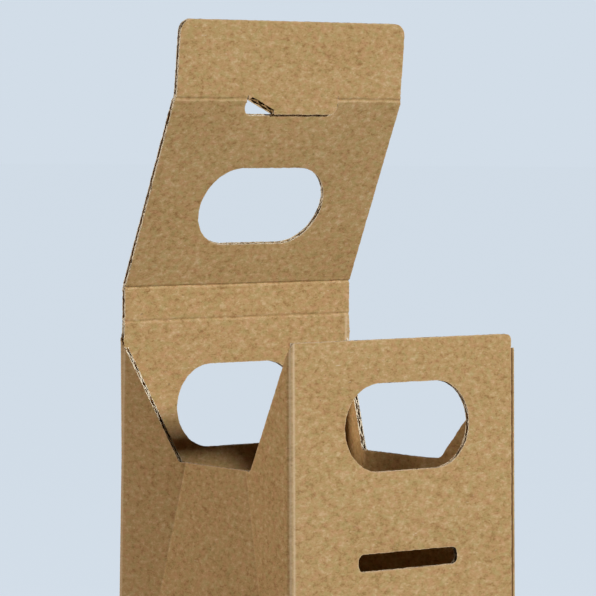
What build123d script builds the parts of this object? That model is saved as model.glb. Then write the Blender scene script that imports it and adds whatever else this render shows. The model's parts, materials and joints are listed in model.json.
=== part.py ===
from build123d import *
import math
import os

# Single-bottle carrier box of corrugated board, standing open. Millimetres.
# X runs across the front panel, Y from the front panel (-) to the back panel (+), Z up.
# The origin is the centre of the base. The whole box is one folded sheet; only the lid's
# panels turn, at their creases, so they are nodes of their own.

# ---- board and box
board = 1.6                 # thickness of the corrugated board
width = 85.0                # outside, across the front panel
depth = 85.0                # outside, front to back
height = 355.0              # base to the front panel's top edge
fold_radius = 1.7           # outside radius of a fold in the box's walls

# ---- glued seam at the front right corner
seam_setback = 3.7          # front panel's raw edge to the right panel's outer face
glue_tab_width = 18.0       # right panel's tab behind the front panel
glue_line = 0.1             # gap between front panel and glue tab
glue_margin = 2.0           # glue stops this far inside the tab's edges
tab_drop = 4.2              # right panel and its tab start this far below the front's top

# ---- gusset creases in the side panels
gusset_height = 138.0       # top edge down to where the creases meet the corners
gusset_flat = 31.8          # width between the two creases at the notch floor
crease_start = 2.5          # creases begin this far from the corner
push_left = 5.0             # how far the left panel is pushed in at the notch floor
push_right = 12.0           # the same on the right panel

# ---- notch in the top of each side panel
notch_depth = 37.5          # top edge down to the notch floor
notch_floor_width = 35.8
notch_front_drop = 0.6      # the notch meets the front fold this far below the top
notch_back_drop = 2.4       # the notch meets the back fold this far below the top
notch_corner_radius = 2.0

# ---- hand holes and lock slot
hole_length = 45.2
hole_height = 24.8
hole_drop = 24.8            # front panel's top edge to the hole's centre
back_hole_raise = 1.0       # the back panel's hole sits this much higher
slot_length = 36.0
slot_height = 4.9
slot_drop = 62.6            # front panel's top edge to the slot's centre
slot_corner_radius = 2.0
front_corner_radius = 1.8   # raw top corner of the front panel

# ---- lid: three panels on three creases above the back panel
crease_rise = 2.1           # first crease above the front panel's top edge
strip_length = 10.1         # first to second crease
lid_length = 60.4           # second to third crease
flap_length = 22.8          # third crease to the flap's free edge
lid_lean = 24.0             # degrees forward of vertical, as the box stands open
flap_lean = 5.7
lid_inset = 0.5             # lid panels are narrower than the box, each side
flap_inset = 1.0
flap_corner_radius = 4.0
lid_hole_offset = 25.9      # second crease to the centre of the lid's hand hole

# ---- creases: the board is crushed thin along the fold line
crease_gap = 0.5            # between the two panels that meet at a crease
crease_land = 0.5           # thickness left at the crease
crease_taper = 0.8          # length over which the board thins

# ---- lock tab, cut out of the lid beyond the third crease
tab_length = 35.2           # along the crease
tab_reach = 4.6             # beyond the crease
tab_slant = 8.0             # length of its slanted left end
tab_radius = 3.0            # its rounded right corner
tab_root = 2.0              # uncreased board behind the tab
cut_clearance = 0.4         # between tab and the lid's cut-out

# ---- closed bottom: two outer flaps on two inner flaps, glued
flap_seam = 0.6             # gap where two bottom flaps meet

margin = 5.0                # how far cutting shapes reach past the board

gusset_base = height - gusset_height
notch_floor = height - notch_depth
crease_height = height + crease_rise
crease_run = (depth - gusset_flat) / 2


def shortening(push):
    """How much nearer the corner comes to the crease when the crease is pushed in."""
    return crease_run - math.sqrt(crease_run**2 - push**2)


# Front and back panels stay flat and lean in by the mean of what both gussets take up.
lean_slope = (shortening(push_left) + shortening(push_right)) / 2 / (notch_floor - gusset_base)


def lean(level):
    """Distance that the front and back panels lean in at a height."""
    return lean_slope * max(0.0, level - gusset_base)


def outer_points(level):
    """Corners of the sheet's outer face at a height, from the raw front edge to the glue tab."""
    share = min(1.0, max(0.0, (level - gusset_base) / (notch_floor - gusset_base)))
    run = crease_start + share * (crease_run - crease_start)
    front = -depth / 2 + lean(level)
    back = depth / 2 - lean(level)
    behind = front + board + glue_line
    left = -width / 2
    right = width / 2
    left_crease = left + share * push_left
    right_crease = right - share * push_right
    return [
        (right - seam_setback, front),
        (left, front),
        (left_crease, front + run),
        (left_crease, back - run),
        (left, back),
        (right, back),
        (right_crease, back - run),
        (right_crease, behind + run),
        (right, behind),
        (right - glue_tab_width, behind),
    ]


def inner_points(points):
    """The same corners on the sheet's inner face, one board thickness inside."""
    normals = []
    for start, end in zip(points, points[1:]):
        run_x, run_y = end[0] - start[0], end[1] - start[1]
        length = math.hypot(run_x, run_y)
        normals.append((run_y / length, -run_x / length))
    inner = []
    for index, (x, y) in enumerate(points):
        before = normals[max(0, index - 1)]
        after = normals[min(index, len(normals) - 1)]
        reach = board / (1 + before[0] * after[0] + before[1] * after[1])
        inner.append((x + reach * (before[0] + after[0]), y + reach * (before[1] + after[1])))
    return inner


def sheet_section(level):
    """Cut through the folded sheet at a height, with its outer folds rounded."""
    outer = outer_points(level)
    inner = inner_points(outer)
    folds = (1, 4, 5, 8)
    radii = [fold_radius if index in folds else 0 for index in range(len(outer))]
    radii += [0] * len(inner)
    outline = FilletPolyline(*outer, *reversed(inner), radius=radii, close=True)
    return Pos(0, 0, level) * make_face(outline)


def glue_section(level):
    """Glue between the front panel and the glue tab, reaching a little into both."""
    bite = board / 4
    front = -depth / 2 + lean(level) + board
    left = width / 2 - glue_tab_width + glue_margin
    right = width / 2 - seam_setback - glue_margin
    return Pos((left + right) / 2, front + glue_line / 2, level) * Rectangle(
        right - left, glue_line + 2 * bite
    )


def walls():
    """Four walls with the gussets pushed in, and the glued seam."""
    top = crease_height - crease_gap / 2
    levels = (gusset_base, notch_floor, top)
    straight = extrude(sheet_section(0), gusset_base)
    gusseted = loft([sheet_section(level) for level in levels], ruled=True)
    glue_top = height - tab_drop - glue_margin
    glue_low = extrude(glue_section(glue_margin), gusset_base - glue_margin)
    glue_high = loft([glue_section(gusset_base), glue_section(glue_top)], ruled=True)
    return straight + gusseted + glue_low + glue_high


def front_slab(left, right, near, far, top):
    """Block that leans with the front panel; near and far are measured from its outer face."""
    low = notch_floor - margin
    face_low = -depth / 2 + lean(low)
    face_top = -depth / 2 + lean(top)
    points = [
        (face_low + near, low), (face_top + near, top),
        (face_top + far, top), (face_low + far, low),
    ]
    outline = Plane.YZ * make_face(Polyline(*points, close=True))
    return Pos(left, 0, 0) * extrude(outline, right - left)


def kept_by_notches():
    """What the notches leave: front panel, glue tab and the back panel up to the lid."""
    half = width / 2
    front_panel = front_slab(fold_radius - half, half, -margin, board, height)
    tab_back = 2 * board + glue_line
    tab = front_slab(half - glue_tab_width, half - fold_radius, 0, tab_back, height - tab_drop)
    lid_half = half - lid_inset
    back_panel = front_slab(-lid_half, lid_half, -margin, board, crease_height + 2 * margin)
    return front_panel + tab + mirror(back_panel, about=Plane.XZ)


def notch_cutter():
    """Opens the notch in both side panels and trims the front panel to its height."""
    half_floor = notch_floor_width / 2
    edge = depth / 2 - lean(height)
    over = crease_height + margin
    points = [
        (-edge - margin, over),
        (-edge - margin, height),
        (-edge, height - notch_front_drop),
        (-half_floor, notch_floor),
        (half_floor, notch_floor),
        (edge, height - notch_back_drop),
        (edge + margin, height - notch_back_drop),
        (edge + margin, over),
    ]
    radii = [0, 0, 0, notch_corner_radius, notch_corner_radius, 0, 0, 0]
    outline = Plane.YZ * make_face(FilletPolyline(*points, radius=radii, close=True))
    return extrude(outline, width / 2 + margin, both=True) - kept_by_notches()


def seam_step():
    """Cuts the right panel's fold and glue tab down below the front panel's top edge."""
    left = width / 2 - glue_tab_width - margin
    slab = front_slab(left, width / 2 + margin, board, 3 * board, height + margin)
    low = front_slab(left, width / 2 + margin, 0, 4 * board, height - tab_drop)
    return slab - low


def lock_slot():
    """Cutter for the slot in the front panel that takes the lid's lock tab."""
    outline = RectangleRounded(slot_length, slot_height, slot_corner_radius)
    outline = Plane.XZ * Pos(0, height - slot_drop) * outline
    return Pos(0, -depth / 2, 0) * extrude(outline, margin, both=True)


def hand_hole(y_middle, level):
    """Cutter for a hand hole through one panel: a slot with full round ends."""
    outline = Plane.XZ * Pos(0, level) * SlotOverall(hole_length, hole_height)
    return Pos(0, y_middle, 0) * extrude(outline, margin, both=True)


def front_corner():
    """What rounding takes off the front panel's raw top corner."""
    radius = front_corner_radius
    block = Box(2 * radius, 2 * board, 2 * radius, align=(Align.MIN, Align.MAX, Align.MIN))
    rounded = Rot(90, 0, 0) * Cylinder(radius, 4 * board)
    raw_edge = width / 2 - seam_setback
    centre = Pos(raw_edge - radius, -depth / 2 + lean(height) + board, height - radius)
    return centre * (block - rounded)


def bottom():
    """Outer flaps from the front and back panels, on inner flaps from the side panels."""
    floor_width = width - 2 * fold_radius
    floor_depth = depth - board
    flat = (Align.CENTER, Align.CENTER, Align.MIN)
    outer = Box(floor_width, floor_depth, board, align=flat)
    outer -= Box(width, flap_seam, board, align=flat)
    inner = Box(width - board, depth - 2 * board, board, align=flat)
    inner -= Box(flap_seam, depth, board, align=flat)
    return outer + Pos(0, 0, board) * inner


def fold_trim(plane, span, level):
    """Cutters that round one pair of bottom folds and clear what is outside and below them."""
    edge = span / 2
    outline = Polyline(
        (edge - fold_radius, level), (edge - fold_radius, -margin), (edge + margin, -margin),
        (edge + margin, level + fold_radius), (edge, level + fold_radius),
    )
    outline += RadiusArc(
        (edge, level + fold_radius), (edge - fold_radius, level), fold_radius
    )
    cutter = extrude(plane * make_face(outline), width + depth, both=True)
    other = Plane.YZ if plane == Plane.XZ else Plane.XZ
    return cutter + mirror(cutter, about=other)


def crease_frame():
    """Place of the first crease, on the middle of the back panel's board."""
    return Pos(0, depth / 2 - lean(crease_height) - board / 2, crease_height)


def panel(outline, length, far_crease):
    """A lid panel of the given front view, standing on its crease and thinned where creased.

    The panel's middle plane is y = 0 and its crease is z = 0. The board thins on both faces
    towards that crease, and towards a second one at z = length where far_crease is set.
    """
    half = board / 2
    land = crease_land / 2
    low = crease_gap / 2
    profile = [(-half, low + crease_taper), (-land, low), (land, low), (half, low + crease_taper)]
    if far_crease:
        high = length - crease_gap / 2
        thin = high - crease_taper
        profile += [(half, thin), (land, high), (-land, high), (-half, thin)]
    else:
        profile += [(half, length), (-half, length)]
    blank = extrude(Plane.XZ * outline, board, both=True)
    side_view = extrude(Plane.YZ * make_face(Polyline(*profile, close=True)), width, both=True)
    return blank & side_view


def back_score():
    """What creasing takes off both faces of the back panel at its top edge."""
    high = crease_gap / 2
    low = high + crease_taper
    half = board / 2
    land = crease_land / 2
    wedge = Polyline(
        (land, -high), (half + margin, -high), (half + margin, -low), (half, -low), close=True
    )
    cutter = extrude(Plane.YZ * make_face(wedge), width, both=True)
    both_faces = cutter + mirror(cutter, about=Plane.XZ)
    tilt = math.degrees(math.atan(lean_slope))
    return crease_frame() * Rot(tilt, 0, 0) * both_faces


def box_body():
    """Walls, bottom, holes, and the thinned edge where the lid's first crease runs."""
    body = walls() + bottom()
    body -= fold_trim(Plane.XZ, width, board)
    body -= fold_trim(Plane.YZ, depth, 0)
    body -= notch_cutter()
    body -= seam_step()
    body -= front_corner()
    front_middle = -depth / 2 + lean(height - hole_drop) + board / 2
    body -= hand_hole(front_middle, height - hole_drop)
    body -= hand_hole(-front_middle, height - hole_drop + back_hole_raise)
    body -= lock_slot()
    return body - back_score()


def top_strip():
    """Strip between the first and the second crease."""
    strip_width = width - 2 * lid_inset
    outline = Pos(0, strip_length / 2) * Rectangle(strip_width, strip_length)
    return panel(outline, strip_length, True)


def tab_cutout():
    """Hole that the lock tab leaves at the lid's free end, with room for the tab to swing."""
    reach = math.hypot(tab_reach, board / 2) + cut_clearance
    half = tab_length / 2 + cut_clearance
    corners = [(-half, margin), (-half, -reach), (half, -reach), (half, margin)]
    outline = FilletPolyline(*corners, radius=[0, tab_radius, tab_radius, 0], close=True)
    return Pos(0, lid_length) * make_face(outline)


def lid_panel():
    """Panel with the hand hole that folds down over the front."""
    outline = Pos(0, lid_length / 2) * Rectangle(width - 2 * lid_inset, lid_length)
    outline -= Pos(0, lid_hole_offset) * SlotOverall(hole_length, hole_height)
    outline -= tab_cutout()
    return panel(outline, lid_length, True)


def lock_tab():
    """Half-moon tab that reaches past the flap's crease, with a slanted left end."""
    half = tab_length / 2
    corners = [
        (-half, tab_root), (-half, 0), (tab_slant - half, -tab_reach), (half, -tab_reach),
        (half, tab_root),
    ]
    outline = make_face(
        FilletPolyline(*corners, radius=[0, 0, tab_radius, tab_radius, 0], close=True)
    )
    return extrude(Plane.XZ * outline, board / 2, both=True)


def tuck_flap():
    """End flap with rounded free corners and the lock tab."""
    half = width / 2 - flap_inset
    corners = [(-half, 0), (half, 0), (half, flap_length), (-half, flap_length)]
    radii = [0, 0, flap_corner_radius, flap_corner_radius]
    outline = make_face(FilletPolyline(*corners, radius=radii, close=True))
    return panel(outline, flap_length, False) + lock_tab()


strip_place = crease_frame()
lid_place = strip_place * Pos(0, 0, strip_length) * Rot(lid_lean, 0, 0)
flap_place = lid_place * Pos(0, 0, lid_length) * Rot(flap_lean - lid_lean, 0, 0)

parts = {
    "box_body": box_body(),
    "top_strip": strip_place * top_strip(),
    "lid_panel": lid_place * lid_panel(),
    "tuck_flap": flap_place * tuck_flap(),
}

os.makedirs("parts", exist_ok=True)
for name, shape in parts.items():
    export_step(shape, f"parts/{name}.step")

for name, place in (("first", strip_place), ("second", lid_place), ("third", flap_place)):
    print(name, "crease at", [round(value, 4) for value in place.position])
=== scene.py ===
import json
import math

import bpy
import bmesh
import numpy as np
from mathutils import Matrix, Vector
from mathutils.geometry import delaunay_2d_cdt
from mathutils.kdtree import KDTree


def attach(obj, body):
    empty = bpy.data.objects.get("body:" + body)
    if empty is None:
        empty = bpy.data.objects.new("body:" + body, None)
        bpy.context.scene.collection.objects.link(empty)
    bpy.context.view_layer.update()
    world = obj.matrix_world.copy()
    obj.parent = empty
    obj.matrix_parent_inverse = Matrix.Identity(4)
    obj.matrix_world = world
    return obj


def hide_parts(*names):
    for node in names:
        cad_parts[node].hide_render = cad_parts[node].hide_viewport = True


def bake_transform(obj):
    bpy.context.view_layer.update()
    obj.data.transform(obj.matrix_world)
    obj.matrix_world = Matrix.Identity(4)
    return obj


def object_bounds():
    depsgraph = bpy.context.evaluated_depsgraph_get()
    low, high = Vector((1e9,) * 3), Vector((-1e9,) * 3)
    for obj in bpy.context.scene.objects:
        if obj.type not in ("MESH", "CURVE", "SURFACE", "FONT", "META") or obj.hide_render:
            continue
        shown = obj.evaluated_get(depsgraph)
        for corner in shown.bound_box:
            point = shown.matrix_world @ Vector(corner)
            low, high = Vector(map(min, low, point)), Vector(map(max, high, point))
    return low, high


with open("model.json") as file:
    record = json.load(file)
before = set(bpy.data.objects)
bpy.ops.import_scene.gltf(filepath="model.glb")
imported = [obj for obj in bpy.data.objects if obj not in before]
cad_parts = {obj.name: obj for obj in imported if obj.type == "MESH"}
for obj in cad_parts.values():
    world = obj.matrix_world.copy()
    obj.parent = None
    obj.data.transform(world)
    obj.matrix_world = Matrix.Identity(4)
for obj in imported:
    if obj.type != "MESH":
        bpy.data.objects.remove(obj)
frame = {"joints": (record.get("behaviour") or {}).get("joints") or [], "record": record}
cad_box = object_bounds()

bl_info = {
    "name": "Bottle carrier box",
    "version": (1, 0, 0),
    "blender": (4, 5, 0),
    "location": "3D View > Sidebar > Carrier",
    "description": "Single-bottle carrier box of fluted kraft board, layer by layer",
    "category": "Mesh",
}

# A carrier box folded from one sheet of fluted board. Each panel is made as the real board
# is: an outer liner, a fluted medium and an inner liner, cut flat and then folded. Metres.
# X runs across the front panel, Y from front (-) to back (+), Z up.

MM = 0.001

joints = {joint["name"]: joint for joint in frame["joints"]}
openings = {space["name"]: space["box_m"] for space in frame["record"]["physics"]["openings"]}


def middle(opening):
    """Centre of an opening that the record states."""
    low, high = openings[opening]
    return (Vector(low) + Vector(high)) / 2


def crease_place(joint):
    """Where a lid crease runs, on the middle of the board."""
    return Vector(joints[joint]["pos_m"])


ridge = crease_place("ridge_crease")
lid_crease = crease_place("lid_crease")
flap_crease = crease_place("flap_crease")
lid_rise = flap_crease - lid_crease
lid_lean = math.atan2(-lid_rise.y, lid_rise.z)
half_width = (cad_box[1].x - cad_box[0].x) / 2

# Torn and rubbed paper, and painted highlights on the folds
RING_DEPTHS = (0.42 * MM, 0.95 * MM)  # rows of points inside every cut edge
RIM_PALE, RIM_WIDTH = 0.8, 0.3 * MM  # pale rim of a liner beside a cut
CRUSH_WIDTH = 0.45 * MM  # how far in from a cut the board is pressed
LINER_GRAIN, MEDIUM_GRAIN = 1.1 * MM, 1.7 * MM  # length of the frays along a cut
LINER_UPRIGHT, MEDIUM_UPRIGHT = 0.3, 1.0  # extra fray on edges that run along the flutes
COARSE_FRAY, FINE_FRAY = 0.65, 0.35
INNER_PEEL, MEDIUM_PEEL = 1.25 * MM, 0.6 * MM  # layers hang back where the lock tab was torn
SEAM_BAND_START, SEAM_BAND_END = 1.5 * MM, 1.9 * MM  # the darker band beside the seam shows this far past the tab's fold
SEAM_BAND_FADE = 0.4 * MM
FOLD_WEAR_AND_HIGHLIGHT = (  # worn paper with painted highlight: strength, place past the fold and half width of each pale streak
    (0.45, -0.8 * MM, 1.5 * MM),
    (0.85, -1.75 * MM, 0.4 * MM),
    (0.5, -0.1 * MM, 0.4 * MM),
)
GUSSET_PALE, GUSSET_PALE_WIDTH = 0.45, 0.3 * MM

# Folds of the wrap, by their place in Walls.section
SHARP_FOLDS = (1, 8)
BACK_FOLDS = (4, 5)
GUSSET_CREASES = (2, 3, 6, 7)
GUSSET_BEND = 0.75 * MM  # half the width over which a gusset crease turns
GUSSET_GROOVE_WIDTH = 0.6 * MM
FLAP_GAP = 2.4 * MM  # from a fold to the bottom flap beside it
FLAP_SETBACK = 2.2 * MM
FLAP_CORNER = 0.8 * MM
GLUE_TAB_CORNER = 2 * MM
FOLD_CORNER = 0.5 * MM  # rounding where the front's top edge reaches the fold
GUSSET_ROWS = (-1.5, -0.9, -0.45, 0, 0.45, 0.9, 1.5)  # millimetres beside a gusset crease
SCORE_RISE = 6  # a gusset crease is fully scored after a sixth of its height
BACK_FADE = (4 * MM, 1.5 * MM)  # the back folds' rounding ends this far below the notch's end
LINE_LOW, LINE_ROOM = -0.05, 0.01  # lines run past the flat sheet
WALL_ROWS = (0.02, 0.08, 0.14, 0.25)  # levels at which the medium gets rows of points
ROUND_END_ROOM = 0.01 * MM  # keeps a sliver of straight between two round ends

# Grooves of the lid creases
GROOVE_KNOT, GROOVE_WANDER = 3.4, 0.09  # millimetres from change to change, and sideways
GROOVE_BITE = (0.65, 1.2)
GROOVE_WIDTH = 0.42 * MM
# painted highlight on the groove's lower lip: its offset below the groove and its half width
GROOVE_LIP, GROOVE_LIP_WIDTH = 0.4 * MM, 0.3 * MM
CREASE_ROWS = (-1.2, -0.9, -0.6, -0.4, -0.2, 0, 0.2, 0.4, 0.6, 0.9, 1.2)  # millimetres
CREASE_COLUMN = 1.1 * MM
CORE_START = 1.3  # the crushed core lies this many liners deep
TAB_START = -0.2 * MM  # the tab's slanted end starts this far under the crease
TAB_SLANT_RADII = (0.8 * MM, 2 * MM)  # rounding at its upper and its lower end
TAB_ROOM = 0.04 * MM  # between the lock tab and the crease beside it

# Tints of single fibres and of the paper's uneven tone
RUST = (0.62, 0.30, 0.17, 1.0)
OLIVE = (0.40, 0.38, 0.14, 1.0)
BARK = (0.16, 0.09, 0.04, 1.0)
STRAW = (0.78, 0.66, 0.47, 1.0)
# painted shade: dark tint for the gaps between torn fibres of a cut edge
TORN_GAP_SHADE = (0.10, 0.06, 0.03, 1.0)

# Stage
LIGHTS = (  # name, bearing and rise in degrees, distance, size, watts, tint
    ("key", 14, 19.5, 2.2, 0.26, 44, (1.0, 0.99, 0.97)),
    ("fill", -122, 9, 2.2, 0.9, 31, (1.0, 0.89, 0.79)),
    ("back", 150, 40, 2.4, 1.2, 4, (1.0, 1.0, 1.0)),
)
LIGHT_AIM = 0.34  # height that the lights point at
ROOM_LIGHT = 0.02
FLOOR_RADIUS = 30.0
FLOOR_DARK = 0.1  # the floor takes this share of its tint from the lights, the rest glows
FLOOR_GLOW = 0.985


# ---------------------------------------------------------------- settings

def length(label, millimetres, text):
    """A length that a user may change, given in millimetres and kept in metres."""
    return bpy.props.FloatProperty(
        name=label, description=text, default=millimetres * MM, min=0.0,
        unit="LENGTH", subtype="DISTANCE", precision=5,
    )


def colour(label, red, green, blue, text):
    """A colour that a user may change, given as it shows on a screen from 0 to 255."""
    linear = [((part / 255 + 0.055) / 1.055) ** 2.4 for part in (red, green, blue)]
    return bpy.props.FloatVectorProperty(
        name=label, description=text, default=linear, min=0.0, max=1.0, size=3, subtype="COLOR",
    )


def share(label, value, text):
    """A share from 0 to 1 that a user may change."""
    return bpy.props.FloatProperty(
        name=label, description=text, default=value, min=0.0, max=1.0, subtype="FACTOR",
    )


class BoardSettings(bpy.types.PropertyGroup):
    thickness: length("Board", 1.6, "Thickness of the whole board")
    liner: length("Liner", 0.3, "Thickness of the paper on each face")
    medium: length("Medium", 0.36, "Thickness of the fluted paper")
    pitch: length("Flute pitch", 3.3, "Distance from one flute to the next")
    fold_radius: length("Fold radius", 1.7, "Outside radius of a fold")
    step: length("Cut step", 0.33, "Spacing of the points along a cut edge")
    liner_ragged: length("Liner fray", 0.22, "How far a liner's cut edge wanders")
    medium_ragged: length("Medium fray", 0.34, "How far the medium's cut edge wanders")
    crush: length("Edge crush", 0.09, "How far the knife presses each face in at a cut")
    crease_reach: length("Crease reach", 1.0, "Half the width of a lid crease")
    crease_depth: length("Crease depth", 0.32, "Depth of the groove along a lid crease")


class BoxSettings(bpy.types.PropertyGroup):
    seam_setback: length("Seam setback", 3.7, "Front panel's raw edge to the right panel's face")
    glue_tab: length("Glue tab", 18.0, "Width of the tab glued behind the front panel")
    glue_line: length("Glue line", 0.1, "Gap between front panel and glue tab")
    tab_drop: length("Tab drop", 4.2, "Right panel starts this far below the front's top")
    crease_rise: length("Crease rise", 2.1, "First crease above the front panel's top")
    gusset_height: length("Gusset height", 138.0, "Top edge to where the gusset creases end")
    gusset_flat: length("Gusset flat", 31.8, "Width between the creases at the notch floor")
    crease_start: length("Crease start", 2.5, "The creases begin this far from the corner")
    push_left: length("Push left", 5.0, "How far the left panel is pushed in")
    push_right: length("Push right", 12.0, "How far the right panel is pushed in")
    gusset_groove: length("Gusset groove", 0.14, "Depth of the scored gusset creases")
    notch_depth: length("Notch depth", 37.5, "Top edge to the notch floor")
    notch_floor: length("Notch floor", 35.8, "Width of the notch floor")
    notch_front: length("Notch front", 0.6, "Notch meets the front fold this far down")
    notch_back: length("Notch back", 2.4, "Notch meets the back fold this far down")
    notch_radius: length("Notch radius", 2.0, "Rounding at the notch floor")
    front_radius: length("Front corner", 1.8, "Rounding of the front panel's raw corner")
    bottom_seam: length("Bottom seam", 0.6, "Gap where two bottom flaps meet")


class HoleSettings(bpy.types.PropertyGroup):
    hand_length: length("Hand hole length", 45.2, "Length of a hand hole")
    hand_height: length("Hand hole height", 24.8, "Height of a hand hole, with full round ends")
    slot_length: length("Lock slot length", 36.0, "Length of the slot in the front panel")
    slot_height: length("Lock slot height", 4.9, "Height of the slot in the front panel")
    slot_radius: length("Lock slot corner", 2.0, "Rounding of the slot's corners")


class LidSettings(bpy.types.PropertyGroup):
    lid_inset: length("Lid inset", 0.5, "The lid is narrower than the box, each side")
    flap_inset: length("Flap inset", 1.0, "The flap is narrower than the box, each side")
    flap_length: length("Flap length", 22.8, "Third crease to the flap's free edge")
    flap_radius: length("Flap corner", 4.0, "Rounding of the flap's free corners")
    tab_length: length("Tab length", 35.2, "Lock tab along the crease")
    tab_reach: length("Tab reach", 4.6, "Lock tab beyond the crease")
    tab_slant: length("Tab slant", 9.5, "Length of the tab's slanted left end")
    tab_shift: length("Tab shift", 1.9, "The tab's left end starts this much further right")
    tab_radius: length("Tab corner", 3.0, "Rounding of the tab's right corner")
    cut_width: length("Tab clearance", 0.4, "Room between the tab and the lid's cut-out")
    flap_lean: bpy.props.FloatProperty(
        name="Flap lean", description="How far the flap leans forward of upright",
        default=math.radians(5.7), subtype="ANGLE", unit="ROTATION",
    )


class FinishSettings(bpy.types.PropertyGroup):
    kraft: colour("Kraft", 190, 156, 105, "Unbleached liner")
    kraft_dark: colour("Dark fibres", 150, 112, 66, "Darker fibres of the liner")
    kraft_pale: colour("Pale fibres", 216, 188, 146, "Paler fibres of the liner")
    worn: colour("Worn paper", 222, 196, 160, "Liner rubbed pale on folds and creases")
    cut: colour("Cut paper", 252, 240, 214, "Fresh cut edge of the liners")
    # pale tint for rubbed paper and for the painted highlights on folds and crease lips
    flute: colour("Medium", 132, 98, 60, "Fluted paper")
    # tint of the darker band beside the seam
    glue: colour("Dried glue", 92, 58, 26, "Stained paper beside the glued seam")
    mottle: share("Mottle", 0.85, "How much the fibres vary in tone")


class StageSettings(bpy.types.PropertyGroup):
    backdrop: colour("Backdrop", 210, 221, 232, "Pale background")
    floor: colour("Floor", 214, 222, 230, "Pale floor")
    camera_place: bpy.props.FloatVectorProperty(
        name="Camera", description="Where the camera stands", size=3, unit="LENGTH",
        subtype="TRANSLATION", default=(-0.6298, -0.7993, 0.4168),
    )
    camera_pan: bpy.props.FloatProperty(
        name="Pan", description="Turned from straight ahead towards the right",
        default=math.radians(37.88), subtype="ANGLE", unit="ROTATION",
    )
    camera_tilt: bpy.props.FloatProperty(
        name="Tilt", description="Turned down from level",
        default=math.radians(2.94), subtype="ANGLE", unit="ROTATION",
    )
    camera_roll: bpy.props.FloatProperty(
        name="Roll", description="Turned about the line of sight",
        default=math.radians(0.31), subtype="ANGLE", unit="ROTATION",
    )
    lens: bpy.props.FloatProperty(
        name="Lens", description="Focal length in millimetres", default=211.66, min=1.0,
    )


GROUPS = {
    "carrier_board": BoardSettings,
    "carrier_box": BoxSettings,
    "carrier_holes": HoleSettings,
    "carrier_lid": LidSettings,
    "carrier_finish": FinishSettings,
    "carrier_stage": StageSettings,
}


# ---------------------------------------------------------------- outlines on the flat sheet

def outline(corners, radii, step):
    """Closed outline with rounded corners, its points at most one step apart."""
    corners = [np.array(corner, float) for corner in corners]
    path = []
    for index, (corner, radius) in enumerate(zip(corners, radii)):
        if radius == 0:
            path.append(corner)
            continue
        back = corners[index - 1] - corner
        ahead = corners[(index + 1) % len(corners)] - corner
        back /= np.linalg.norm(back)
        ahead /= np.linalg.norm(ahead)
        half = math.acos(np.clip(back @ ahead, -1, 1)) / 2
        bisector = (back + ahead) / np.linalg.norm(back + ahead)
        centre = corner + bisector * radius / math.sin(half)
        first = corner + back * radius / math.tan(half) - centre
        last = corner + ahead * radius / math.tan(half) - centre
        sweep = math.pi - 2 * half
        parts = max(3, math.ceil(sweep * radius / step))
        for part in np.linspace(0, 1, parts + 1):
            mixed = first * math.sin((1 - part) * sweep) + last * math.sin(part * sweep)
            path.append(centre + mixed / math.sin(sweep))
    return spaced(np.array(path + path[:1]), step)[:-1]


def spaced(path, step):
    """The same open path with more points, at most one step apart."""
    points = [path[:1]]
    for start, end in zip(path, path[1:]):
        parts = max(1, math.ceil(np.linalg.norm(end - start) / step - 1e-6))
        points.append(start + (end - start) * np.linspace(0, 1, parts + 1)[1:, None])
    points = np.concatenate(points)
    apart = np.linalg.norm(np.diff(points, axis=0), axis=1) > 1e-7
    return points[np.concatenate([[True], apart])]


def rounded_slot(centre, across, height, radius, step):
    """Outline of a hole with rounded ends, anticlockwise."""
    x, y = across / 2, height / 2
    corners = [(-x, -y), (x, -y), (x, y), (-x, y)]
    loop = outline(corners, [radius] * 4, step)
    return loop + np.array(centre)


def hand_hole(centre, holes, step):
    """Outline of a hand hole, whose ends are full half circles."""
    radius = holes.hand_height / 2 - ROUND_END_ROOM
    return rounded_slot(centre, holes.hand_length, holes.hand_height, radius, step)


def frayed(loop, depth, grain, kept, hole, seed, torn_upright, peeled=0.0):
    """The outline with its edge worn back into the paper by up to depth, except on kept levels.

    Upright edges run along the flutes and tear more. Peeled adds a depth where layers part.
    """
    draw = np.random.default_rng(seed)
    forward = np.roll(loop, -1, axis=0) - np.roll(loop, 1, axis=0)
    forward /= np.linalg.norm(forward, axis=1)[:, None] + 1e-12
    into = np.stack([-forward[:, 1], forward[:, 0]], axis=1)
    if hole:
        into = -into
    gaps = np.linalg.norm(np.roll(loop, -1, axis=0) - loop, axis=1)
    along = np.concatenate([[0.0], np.cumsum(gaps)])[:-1]
    knots = np.arange(0, along[-1] + 2 * grain, grain)
    coarse = np.interp(along, knots, draw.random(len(knots)) ** 2.5)
    fine = draw.random(len(loop)) ** 2
    upright = 1 + torn_upright * np.abs(forward[:, 1]) ** 3
    worn = depth * (COARSE_FRAY * coarse + FINE_FRAY * fine) * upright + peeled
    for level in kept:
        worn = np.where(np.abs(loop[:, 1] - level) < 1e-6, 0.0, worn)
    return loop + into * worn[:, None]


# ---------------------------------------------------------------- flat sheet to triangles

def inside(points, loops):
    """True for the points that lie inside an odd number of the loops."""
    hit = np.zeros(len(points), bool)
    for loop in loops:
        x1, y1 = loop[:, 0], loop[:, 1]
        x2, y2 = np.roll(x1, -1), np.roll(y1, -1)
        rise = np.where(y2 == y1, 1e-12, y2 - y1)
        for start in range(0, len(points), 4000):
            x = points[start:start + 4000, 0, None]
            y = points[start:start + 4000, 1, None]
            crossing = (y1 > y) != (y2 > y)
            left = x < x1 + (y - y1) / rise * (x2 - x1)
            hit[start:start + 4000] ^= (crossing & left).sum(axis=1) % 2 == 1
    return hit


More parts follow.
